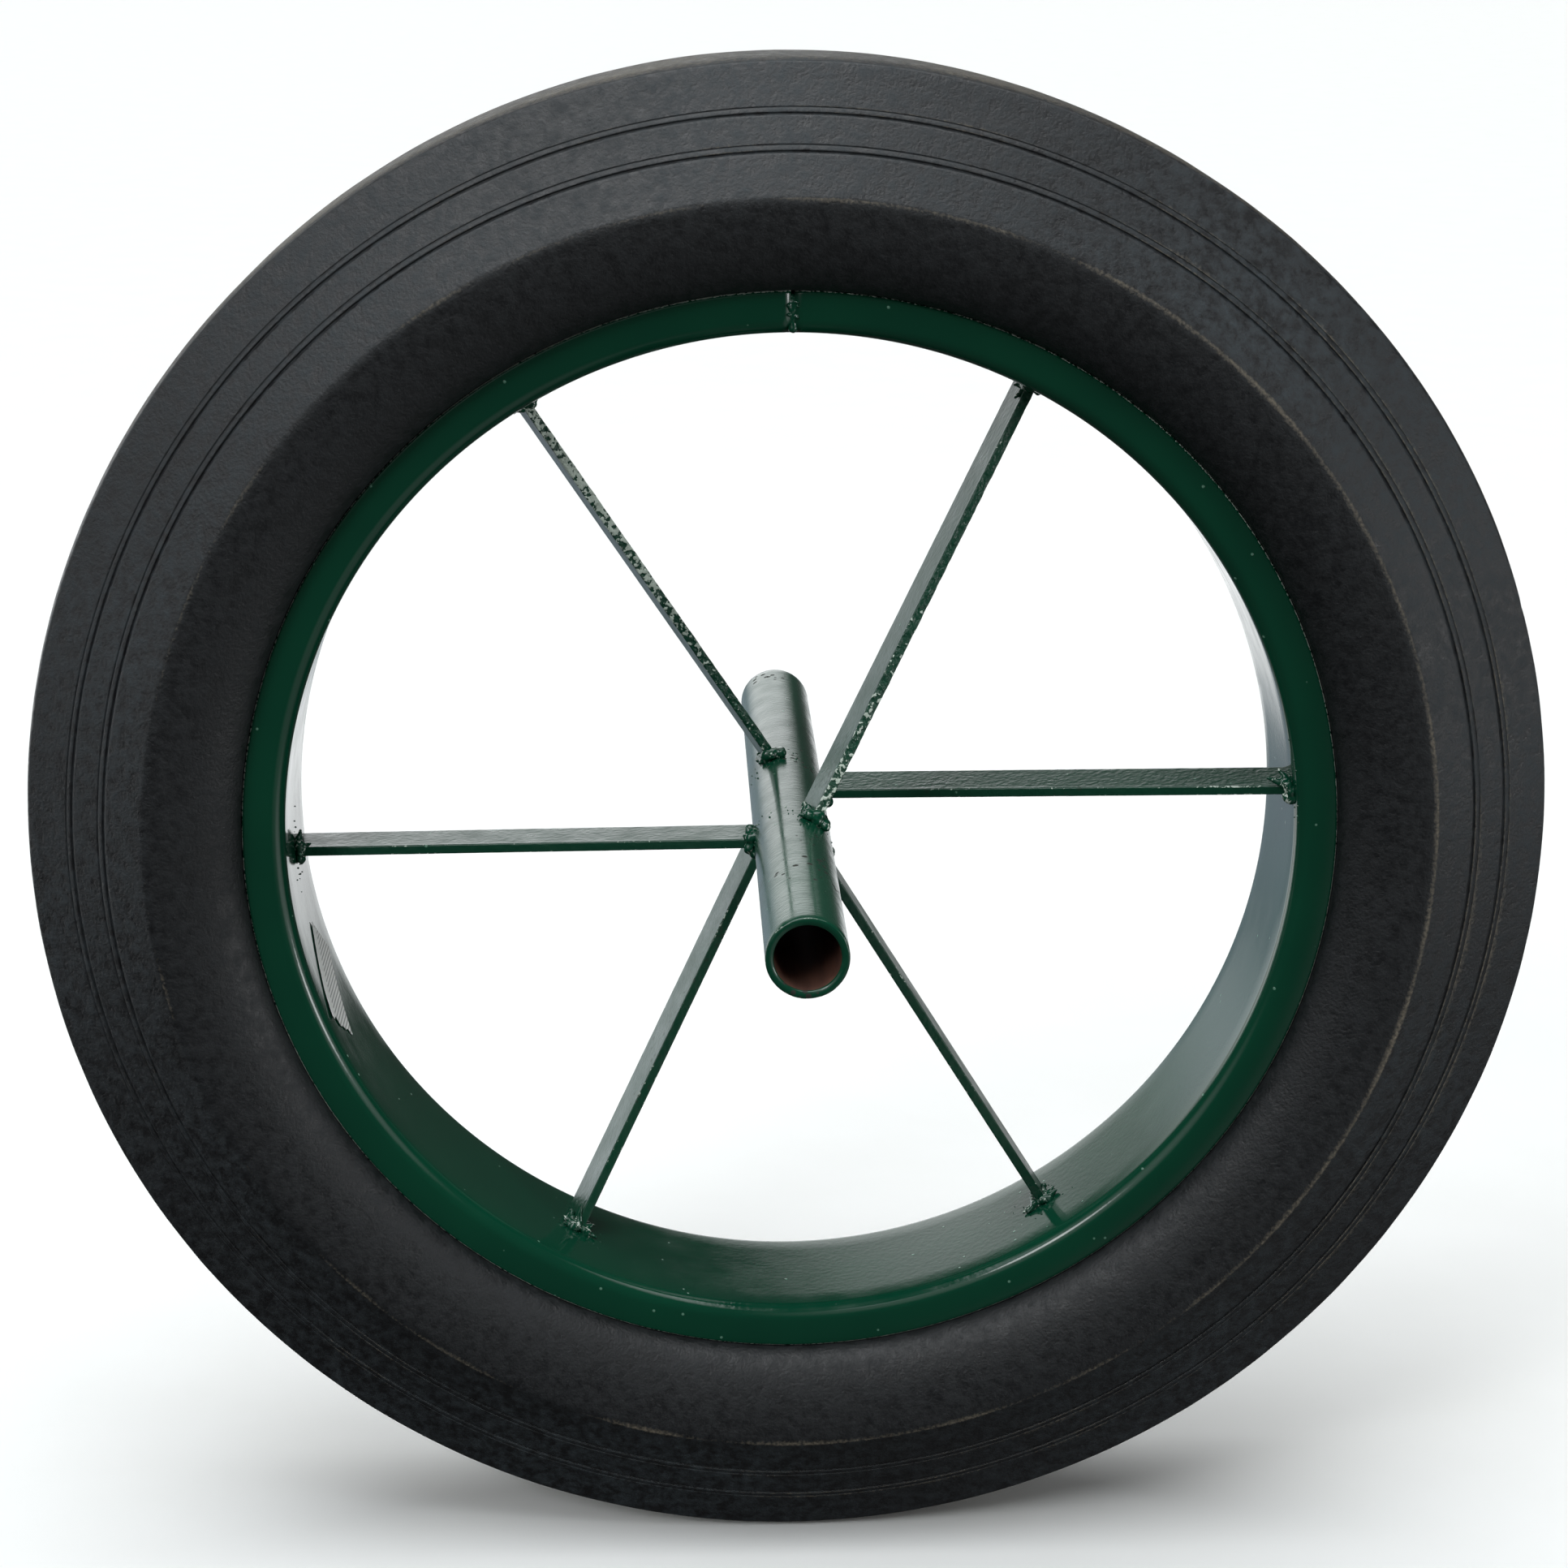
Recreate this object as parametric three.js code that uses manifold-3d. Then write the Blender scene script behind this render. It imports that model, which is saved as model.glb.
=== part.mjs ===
// Wheelbarrow wheel: a rubber tyre on a rolled steel channel rim, six flat bar spokes and a tube hub.
// Millimetres and degrees. The axle lies along Y, Z is up, and the origin is the wheel's centre.
// Every piece keeps a small gap to the piece it touches, so each one is a closed body of its own.

import * as THREE from 'three';
import { mergeVertices } from 'three/addons/utils/BufferGeometryUtils.js';
import Module from 'manifold-3d';

const wasm = await Module();
wasm.setup();

// Tyre
const TYRE_RADIUS = 200;
const TYRE_HEIGHT = 57;           // from the rim's flange edge to the tread
const TYRE_WIDTH = 72;            // across the two widest lines of the sidewalls
const WIDEST_DROP = 33;           // from the tread down to where the shoulder meets the sidewall
const TREAD_WIDTH = 36;           // between the two tread edges
const TREAD_CROWN = 1;            // how far the tread's edges lie below its middle
const TREAD_FLAT = 26;            // width of the level middle of the tread
const GROOVE_DROPS = [12, 21];    // from the tread down to the middle of each pair of fine grooves
const GROOVE_SPACING = 2.6;       // between the two grooves of a pair
const GROOVE_DEPTH = 0.8;
const GROOVE_WIDTH = 1.2;

// Rim: one strip rolled to a channel, bent to a hoop and butt welded at the top
const RIM_WIDTH = 50;
const RIM_WALL = 2;
const FLANGE_HEIGHT = 11;
const RIM_BEND_RADIUS = 4;        // outside of the bend between base and flange
const BUTT_GAP = 3;               // between the two ends of the strip
const BUTT_ANGLE = 90;

// Hub
const HUB_RADIUS = 10;
const HUB_WALL = 2;
const HUB_LENGTH = 250;
const HUB_CHAMFER = 0.4;

// Spokes: flat bars that stand edge on to the axle
const BAR_WIDTH = 15;
const BAR_THICKNESS = 2.5;
// The bars go by turns to the back and to the front of the hub. Each was held by hand while it was
// welded, so its angle, its two places along the axle, its twist and how far its hub end sits aside
// of the axle's line are its own.
const SPOKES = [
  { angle: 5, hubPlace: 22, rimPlace: -13, twist: 4.5, aside: 1 },
  { angle: 62, hubPlace: -31, rimPlace: 1, twist: 6, aside: 0 },
  { angle: 122, hubPlace: 30, rimPlace: 1, twist: 12.5, aside: -0.5 },
  { angle: 184, hubPlace: -19, rimPlace: 6.5, twist: 1, aside: 0 },
  { angle: 243.5, hubPlace: 30, rimPlace: 6.5, twist: -7.5, aside: 0 },
  { angle: 302, hubPlace: -12, rimPlace: 6, twist: -2, aside: 2.5 },
];

// Welds: beads that wrap the front edge of each bar, half sizes radially, along the axle and across
const RIM_BEAD = { radial: 4.5, axial: 7, across: 5.5 };
const HUB_BEAD = { radial: 5, axial: 7, across: 5 };
const BEAD_REACH = 3.5;           // how far behind the bar's front edge the bead's middle lies

// Paper label stuck inside the rim
const LABEL = { angle: 200, place: -3, length: 30, width: 16, turn: 43, thickness: 0.3 };

// Clearances and facets
const JOINT_GAP = 0.3;
const RING_SEGMENTS = 64;
const HUB_SEGMENTS = 32;
const BEND_STEPS = 4;

// Radii that follow from the sizes above
const WIDEST_RADIUS = TYRE_RADIUS - WIDEST_DROP;
const RIM_RADIUS = TYRE_RADIUS - TYRE_HEIGHT;
const RIM_INNER_RADIUS = RIM_RADIUS - FLANGE_HEIGHT;   // the face that the spokes are welded to

// Colours, roughness and metalness of what each piece is made of
const RUBBER = { color: '#1d2023', roughness: 0.85, metalness: 0 };
const PAINT = { color: '#0a3a2a', roughness: 0.3, metalness: 0 };
const PAPER = { color: '#e9e9e6', roughness: 0.8, metalness: 0 };

// ---- Solids -------------------------------------------------------------------------------------

function toSolid(geometry) {
  const bare = geometry.clone();
  bare.deleteAttribute('normal');
  bare.deleteAttribute('uv');
  const merged = mergeVertices(bare, 1e-4);
  const mesh = new wasm.Mesh({
    numProp: 3,
    vertProperties: new Float32Array(merged.attributes.position.array),
    triVerts: new Uint32Array(merged.index.array),
  });
  return new wasm.Manifold(mesh);
}

function toGeometry(solid) {
  const mesh = solid.getMesh();
  const geometry = new THREE.BufferGeometry();
  geometry.setAttribute('position', new THREE.BufferAttribute(new Float32Array(mesh.vertProperties), 3));
  geometry.setIndex(new THREE.BufferAttribute(new Uint32Array(mesh.triVerts), 1));
  geometry.computeVertexNormals();
  return geometry;
}

// A profile is a closed list of [radius, place along the axle], turned once around the axle.
function revolve(profile, segments) {
  const points = profile.map(([radius, place]) => new THREE.Vector2(radius, place));
  points.push(points[0].clone());
  return new THREE.LatheGeometry(points, segments);
}

// A solid round bar on the axle, with the same facets as the ring that it stands in for.
function roundBar(radius, length, segments) {
  const half = length / 2;
  const points = [[0, -half], [radius, -half], [radius, half], [0, half]];
  return new THREE.LatheGeometry(points.map(([r, y]) => new THREE.Vector2(r, y)), segments);
}

// Points on an arc of a profile, from one angle to another, both ends included.
function arc(radius, place, bend, from, to, steps) {
  const points = [];
  for (let i = 0; i <= steps; i += 1) {
    const angle = THREE.MathUtils.degToRad(from + ((to - from) * i) / steps);
    points.push([radius + bend * Math.cos(angle), place + bend * Math.sin(angle)]);
  }
  return points;
}

// Closes half a profile, drawn on the front side, with its mirror image on the back side.
function mirrored(front) {
  const back = front.map(([radius, place]) => [radius, -place]).reverse();
  return [...front, ...back];
}

function makeMesh(name, geometry, look) {
  const mesh = new THREE.Mesh(geometry, new THREE.MeshStandardMaterial(look));
  mesh.name = name;
  return mesh;
}

// ---- Tyre ---------------------------------------------------------------------------------------

// The sloping shoulder runs straight from the tread's edge to the widest line of the sidewall.
function shoulderPlace(radius) {
  const top = TYRE_RADIUS - TREAD_CROWN;
  const along = (top - radius) / (top - WIDEST_RADIUS);
  return -THREE.MathUtils.lerp(TREAD_WIDTH / 2, TYRE_WIDTH / 2, along);
}

// A V groove across the shoulder line, from its inner lip to its outer lip.
function groove(radius) {
  const half = GROOVE_WIDTH / 2;
  return [
    [radius - half, shoulderPlace(radius - half)],
    [radius, shoulderPlace(radius) + GROOVE_DEPTH],
    [radius + half, shoulderPlace(radius + half)],
  ];
}

function tyreProfile() {
  const footRadius = RIM_INNER_RADIUS + RIM_WALL + JOINT_GAP;
  const footPlace = RIM_WIDTH / 2 - RIM_WALL - JOINT_GAP;
  const footBevel = RIM_BEND_RADIUS - RIM_WALL + JOINT_GAP;
  const lipRadius = RIM_RADIUS + JOINT_GAP;
  const lipPlace = RIM_WIDTH / 2;
  const bulge = WIDEST_RADIUS - lipRadius;
  const reach = TYRE_WIDTH / 2 - lipPlace;
  const sidewall = arc(0, 0, 1, 90, 0, 6).map(([across, along]) => [
    WIDEST_RADIUS - bulge * along,
    -lipPlace - reach * across,
  ]);
  const middles = GROOVE_DROPS.map((drop) => TYRE_RADIUS - drop).reverse();
  const grooves = middles.flatMap((middle) => [
    ...groove(middle - GROOVE_SPACING / 2),
    ...groove(middle + GROOVE_SPACING / 2),
  ]);
  const tread = [
    [TYRE_RADIUS - TREAD_CROWN, -TREAD_WIDTH / 2],
    [TYRE_RADIUS, -TREAD_FLAT / 2],
  ];
  const foot = [
    [footRadius, -footPlace + footBevel],
    [footRadius + footBevel, -footPlace],
    [lipRadius, -footPlace],
  ];
  return mirrored([...foot, ...sidewall, ...grooves, ...tread]);
}

function tyre() {
  return makeMesh('tyre', revolve(tyreProfile(), RING_SEGMENTS), RUBBER);
}

// ---- Rim ----------------------------------------------------------------------------------------

function rimProfile() {
  const edge = RIM_WIDTH / 2;
  const round = RIM_WALL / 4;
  const bendRadius = RIM_INNER_RADIUS + RIM_BEND_RADIUS;
  const bendPlace = -edge + RIM_BEND_RADIUS;
  const outside = arc(bendRadius, bendPlace, RIM_BEND_RADIUS, 180, 270, BEND_STEPS);
  const inside = arc(bendRadius, bendPlace, RIM_BEND_RADIUS - RIM_WALL, 270, 180, BEND_STEPS - 1);
  const lip = [
    [RIM_RADIUS - round, -edge],
    [RIM_RADIUS, -edge + round],
    [RIM_RADIUS, -edge + RIM_WALL - round],
    [RIM_RADIUS - round, -edge + RIM_WALL],
  ];
  return mirrored([...outside, ...lip, ...inside]);
}

// A block at the top of the rim, as wide as given, that holds the rim's whole section there.
function buttBlock(width) {
  const height = FLANGE_HEIGHT * 2;
  const block = new THREE.BoxGeometry(height, RIM_WIDTH * 2, width);
  block.translate(RIM_INNER_RADIUS + height / 4, 0, 0);
  block.rotateY(-THREE.MathUtils.degToRad(BUTT_ANGLE));
  return toSolid(block);
}

function rim() {
  const hoop = toSolid(revolve(rimProfile(), RING_SEGMENTS));
  return makeMesh('rim', toGeometry(hoop.subtract(buttBlock(BUTT_GAP))), PAINT);
}

function rimButtWeld() {
  const hoop = toSolid(revolve(rimProfile(), RING_SEGMENTS));
  const bead = hoop.intersect(buttBlock(BUTT_GAP - 2 * JOINT_GAP));
  return makeMesh('rim_butt_weld', toGeometry(bead), PAINT);
}

// ---- Hub ----------------------------------------------------------------------------------------

function hubTube() {
  const end = HUB_LENGTH / 2;
  const bore = HUB_RADIUS - HUB_WALL;
  const profile = mirrored([
    [bore, -end],
    [HUB_RADIUS - HUB_CHAMFER, -end],
    [HUB_RADIUS, -end + HUB_CHAMFER],
  ]);
  return makeMesh('hub_tube', revolve(profile, HUB_SEGMENTS), PAINT);
}

// ---- Spokes and their welds ---------------------------------------------------------------------
// An arm's own frame has X along the spoke, Y along the axle and Z across the bar's thickness.

// The bar between two radii with its twist, grown by a clearance on each of its long faces.
function bar(spoke, clearance) {
  const half = BAR_WIDTH / 2 + clearance;
  const depth = BAR_THICKNESS + 2 * clearance;
  const start = HUB_RADIUS / 2;
  const end = RIM_RADIUS;
  const span = RIM_INNER_RADIUS - HUB_RADIUS;
  const slope = (spoke.rimPlace - spoke.hubPlace) / span;
  const place = (radius) => spoke.hubPlace + slope * (radius - HUB_RADIUS);
  const outline = new THREE.Shape([
    new THREE.Vector2(start, place(start) - half),
    new THREE.Vector2(end, place(end) - half),
    new THREE.Vector2(end, place(end) + half),
    new THREE.Vector2(start, place(start) + half),
  ]);
  const geometry = new THREE.ExtrudeGeometry(outline, { depth, bevelEnabled: false });
  const line = new THREE.Vector3(1, slope, 0).normalize();
  const turn = new THREE.Matrix4().makeRotationAxis(line, THREE.MathUtils.degToRad(spoke.twist));
  geometry.translate(-HUB_RADIUS, -spoke.hubPlace, -depth / 2);
  geometry.applyMatrix4(turn);
  geometry.rotateY(Math.atan2(spoke.aside, span));
  geometry.translate(HUB_RADIUS, spoke.hubPlace, spoke.aside);
  return toSolid(geometry);
}

// The space inside the rim, and the hub's own space, both turned to match an arm's frame.
function insideRim(angle) {
  const radius = RIM_INNER_RADIUS - JOINT_GAP;
  return toSolid(roundBar(radius, HUB_LENGTH, RING_SEGMENTS).rotateY(THREE.MathUtils.degToRad(angle)));
}

function hubSpace(angle) {
  const radius = HUB_RADIUS + JOINT_GAP;
  return toSolid(roundBar(radius, HUB_LENGTH * 2, HUB_SEGMENTS).rotateY(THREE.MathUtils.degToRad(angle)));
}

function spokeSolid(spoke) {
  return bar(spoke, 0).intersect(insideRim(spoke.angle)).subtract(hubSpace(spoke.angle));
}

function bead(size, radius, place, aside) {
  const ball = new THREE.SphereGeometry(1, 12, 8);
  ball.rotateX(Math.PI / 2);
  ball.scale(size.radial, size.axial, size.across);
  ball.translate(radius, place - BAR_WIDTH / 2 + BEAD_REACH, aside);
  return toSolid(ball);
}

function rimWeldSolid(spoke) {
  const lump = bead(RIM_BEAD, RIM_INNER_RADIUS, spoke.rimPlace, 0);
  return lump.intersect(insideRim(spoke.angle)).subtract(bar(spoke, JOINT_GAP));
}

function hubWeldSolid(spoke) {
  const lump = bead(HUB_BEAD, HUB_RADIUS, spoke.hubPlace, spoke.aside);
  return lump.subtract(hubSpace(spoke.angle)).subtract(bar(spoke, JOINT_GAP));
}

function arm(spoke, index) {
  const number = index + 1;
  const group = new THREE.Group();
  group.rotation.y = -THREE.MathUtils.degToRad(spoke.angle);
  group.add(
    makeMesh(`spoke_${number}`, toGeometry(spokeSolid(spoke)), PAINT),
    makeMesh(`rim_weld_${number}`, toGeometry(rimWeldSolid(spoke)), PAINT),
    makeMesh(`hub_weld_${number}`, toGeometry(hubWeldSolid(spoke)), PAINT),
  );
  return group;
}

// ---- Label --------------------------------------------------------------------------------------

function label() {
  const outer = RIM_INNER_RADIUS - JOINT_GAP;
  const inner = outer - LABEL.thickness;
  const half = RIM_WIDTH / 2;
  const skin = toSolid(revolve([[inner, -half], [outer, -half], [outer, half], [inner, half]], RING_SEGMENTS));
  const sheet = new THREE.BoxGeometry(FLANGE_HEIGHT, LABEL.width, LABEL.length);
  sheet.rotateX(THREE.MathUtils.degToRad(LABEL.turn));
  sheet.translate(outer, LABEL.place, 0);
  sheet.rotateY(-THREE.MathUtils.degToRad(LABEL.angle));
  return makeMesh('paper_label', toGeometry(skin.intersect(toSolid(sheet))), PAPER);
}

// ---- Wheel --------------------------------------------------------------------------------------

const wheel = new THREE.Group();
wheel.name = 'wheelbarrow_wheel';
wheel.add(tyre(), rim(), rimButtWeld(), hubTube());
wheel.add(...SPOKES.map(arm));
wheel.add(label());

export default wheel;
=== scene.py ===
import math
import random

import bmesh
import bpy
from mathutils import Matrix, Vector, noise


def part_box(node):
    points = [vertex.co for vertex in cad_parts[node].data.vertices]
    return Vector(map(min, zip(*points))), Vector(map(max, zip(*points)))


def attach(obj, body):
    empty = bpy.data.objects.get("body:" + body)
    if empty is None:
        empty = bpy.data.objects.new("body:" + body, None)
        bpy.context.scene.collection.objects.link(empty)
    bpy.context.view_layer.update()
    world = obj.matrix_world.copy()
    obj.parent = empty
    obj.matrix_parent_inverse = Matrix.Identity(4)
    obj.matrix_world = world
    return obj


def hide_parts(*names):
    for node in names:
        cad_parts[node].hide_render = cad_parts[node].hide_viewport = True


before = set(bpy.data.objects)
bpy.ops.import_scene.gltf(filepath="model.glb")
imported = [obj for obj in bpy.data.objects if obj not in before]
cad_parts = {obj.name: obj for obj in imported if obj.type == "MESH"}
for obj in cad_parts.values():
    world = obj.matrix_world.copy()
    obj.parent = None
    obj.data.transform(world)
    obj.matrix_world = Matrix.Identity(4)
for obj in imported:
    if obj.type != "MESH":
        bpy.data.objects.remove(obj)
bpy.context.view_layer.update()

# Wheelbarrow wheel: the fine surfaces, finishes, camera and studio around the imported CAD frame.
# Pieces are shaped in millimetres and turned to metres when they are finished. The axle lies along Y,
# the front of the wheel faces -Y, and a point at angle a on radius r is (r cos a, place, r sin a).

MM = 0.001

# ---- Sizes read from the frame, in millimetres -----------------------------------------------------


def corner(node, which):
    """The lowest (0) or highest (1) corner of a CAD node."""
    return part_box(node)[which] / MM


TYRE_RADIUS = corner("tyre", 1).z
TYRE_WIDTH = corner("tyre", 1).y * 2
RIM_RADIUS = corner("rim", 1).x
RIM_WIDTH = corner("rim", 1).y * 2
HUB_RADIUS = corner("hub_tube", 1).x
HUB_LENGTH = corner("hub_tube", 1).y * 2

# Sizes that the frame's boxes don't give
RIM_WALL = 2.0
RIM_BEND = 4.0                 # outside of the bend between base and flange
FLANGE_HEIGHT = 11.0
RIM_FACE = RIM_RADIUS - FLANGE_HEIGHT     # the inner face that the spokes are welded to
HUB_WALL = 2.0
SEAM_ANGLE = 90.0              # where the two ends of the rim's strip meet
SEAM_GAP = 1.0
WIDEST_RADIUS = TYRE_RADIUS - 33.0        # where the tyre's shoulder meets its sidewall
TREAD_EDGE = 18.0              # from the middle of the tread to its edge
TREAD_CROWN = 1.0
SPOKE_COUNT = 6
LABEL_LENGTH = 30.0
LABEL_WIDTH = 16.0
LABEL_THICKNESS = 0.12
LABEL_CLEARANCE = 0.2          # from the rim's face to the label's upper side
LABEL_TURN = math.radians(43)  # from its length to the rim's own direction
LINE_PITCH = 1.2               # between the label's printed lines
RING_STEPS = 400               # facets round the tyre and the rim
HUB_STEPS = 128                # facets round the hub


# ---- Mesh helpers ----------------------------------------------------------------------------------


def arc(radius, place, bend, start, end, steps):
    """Points of a profile on an arc, both ends included, angles in degrees from +radius to +axle."""
    points = []
    for step in range(steps + 1):
        angle = math.radians(start + (end - start) * step / steps)
        points.append((radius + bend * math.cos(angle), place + bend * math.sin(angle)))
    return points


def mirrored(front):
    """Closes half a profile, drawn on the front side, with its mirror image on the back side."""
    return front + [(radius, -place) for radius, place in reversed(front)]


def outline(profile):
    """A bmesh with one closed line through a profile of (radius, place along the axle)."""
    bm = bmesh.new()
    verts = [bm.verts.new((radius, place, 0)) for radius, place in profile]
    for first, second in zip(verts, verts[1:] + verts[:1]):
        bm.edges.new((first, second))
    return bm


def turn_ring(bm, steps):
    """Spins an outline once round the axle to a closed ring."""
    bmesh.ops.spin(bm, geom=bm.verts[:] + bm.edges[:], cent=(0, 0, 0), axis=(0, -1, 0),
                   dvec=(0, 0, 0), angle=math.tau, steps=steps, use_merge=True)
    bmesh.ops.remove_doubles(bm, verts=bm.verts, dist=0.001)


def waves(point, size, seed):
    """Smooth noise from -1 to 1 whose bumps are about size millimetres across."""
    return noise.noise(Vector(point) / size + Vector((seed * 7.1, seed * 3.3, seed * 5.7)))


def swell(bm, verts, height):
    """Moves vertices along their normals by height(place) millimetres."""
    bm.normal_update()
    moved = [(vert, vert.normal * height(vert.co)) for vert in verts]
    for vert, move in moved:
        vert.co += move


def spread(point):
    """How far a point is from the axle."""
    return math.hypot(point.x, point.z)


def share(value):
    """A value held between 0 and 1."""
    return min(max(value, 0.0), 1.0)


def fade(distance, reach):
    """1 at no distance, falling evenly to 0 at reach."""
    return max(0.0, 1.0 - distance / reach)


def mark(bm, name, amount):
    """Stores a share of about 0 to 1 at each point, under the name that a finish reads."""
    layer = bm.verts.layers.float.new(name)
    for vert in bm.verts:
        vert[layer] = amount(vert.co)


def finish_piece(bm, name, nodes, materials):
    """Turns a bmesh in millimetres into a piece that stands for CAD nodes and rides on the wheel."""
    bm.normal_update()
    bmesh.ops.recalc_face_normals(bm, faces=bm.faces)
    bmesh.ops.scale(bm, vec=(MM, MM, MM), verts=bm.verts)
    mesh = bpy.data.meshes.new(name)
    bm.to_mesh(mesh)
    bm.free()
    for polygon in mesh.polygons:
        polygon.use_smooth = True
    piece = bpy.data.objects.new(name, mesh)
    bpy.context.scene.collection.objects.link(piece)
    for material in materials:
        mesh.materials.append(material)
    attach(piece, "root")
    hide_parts(*nodes)
    return piece


def voxel_skin(bm, size):
    """Joins overlapping lumps to one closed skin of even small faces."""
    mesh = bpy.data.meshes.new("lumps")
    bm.to_mesh(mesh)
    bm.free()
    lumps = bpy.data.objects.new("lumps", mesh)
    bpy.context.scene.collection.objects.link(lumps)
    remesh = lumps.modifiers.new("Skin", "REMESH")
    remesh.mode = "VOXEL"
    remesh.voxel_size = size
    graph = bpy.context.evaluated_depsgraph_get()
    joined = bmesh.new()
    joined.from_mesh(lumps.evaluated_get(graph).to_mesh())
    bpy.data.objects.remove(lumps)
    bpy.data.meshes.remove(mesh)
    return joined


# ---- Finishes --------------------------------------------------------------------------------------


def linear(text):
    """An sRGB hex colour as linear red, green, blue and alpha."""
    channels = [int(text[start:start + 2], 16) / 255 for start in (1, 3, 5)]
    bent = [c / 12.92 if c <= 0.04045 else ((c + 0.055) / 1.055) ** 2.4 for c in channels]
    return (*bent, 1.0)


def grain(size):
    """The texture scale whose features are about size millimetres across, on coordinates in metres."""
    return 1000.0 / size


def add(tree, kind, inputs=None, **settings):
    """Adds a shader node, applies its settings, and links or sets its inputs by name or number."""
    made = tree.nodes.new("ShaderNode" + kind)
    for name, value in settings.items():
        setattr(made, name, value)
    for name, value in (inputs or {}).items():
        if isinstance(value, bpy.types.NodeSocket):
            tree.links.new(value, made.inputs[name])
        else:
            made.inputs[name].default_value = value
    return made


def new_finish(name):
    """A material with an empty node tree, its surface shader and its output."""
    material = bpy.data.materials.new(name)
    material.use_nodes = True
    tree = material.node_tree
    tree.nodes.clear()
    shader = add(tree, "BsdfPrincipled")
    add(tree, "OutputMaterial", {"Surface": shader.outputs["BSDF"]})
    return material, tree, shader


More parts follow.
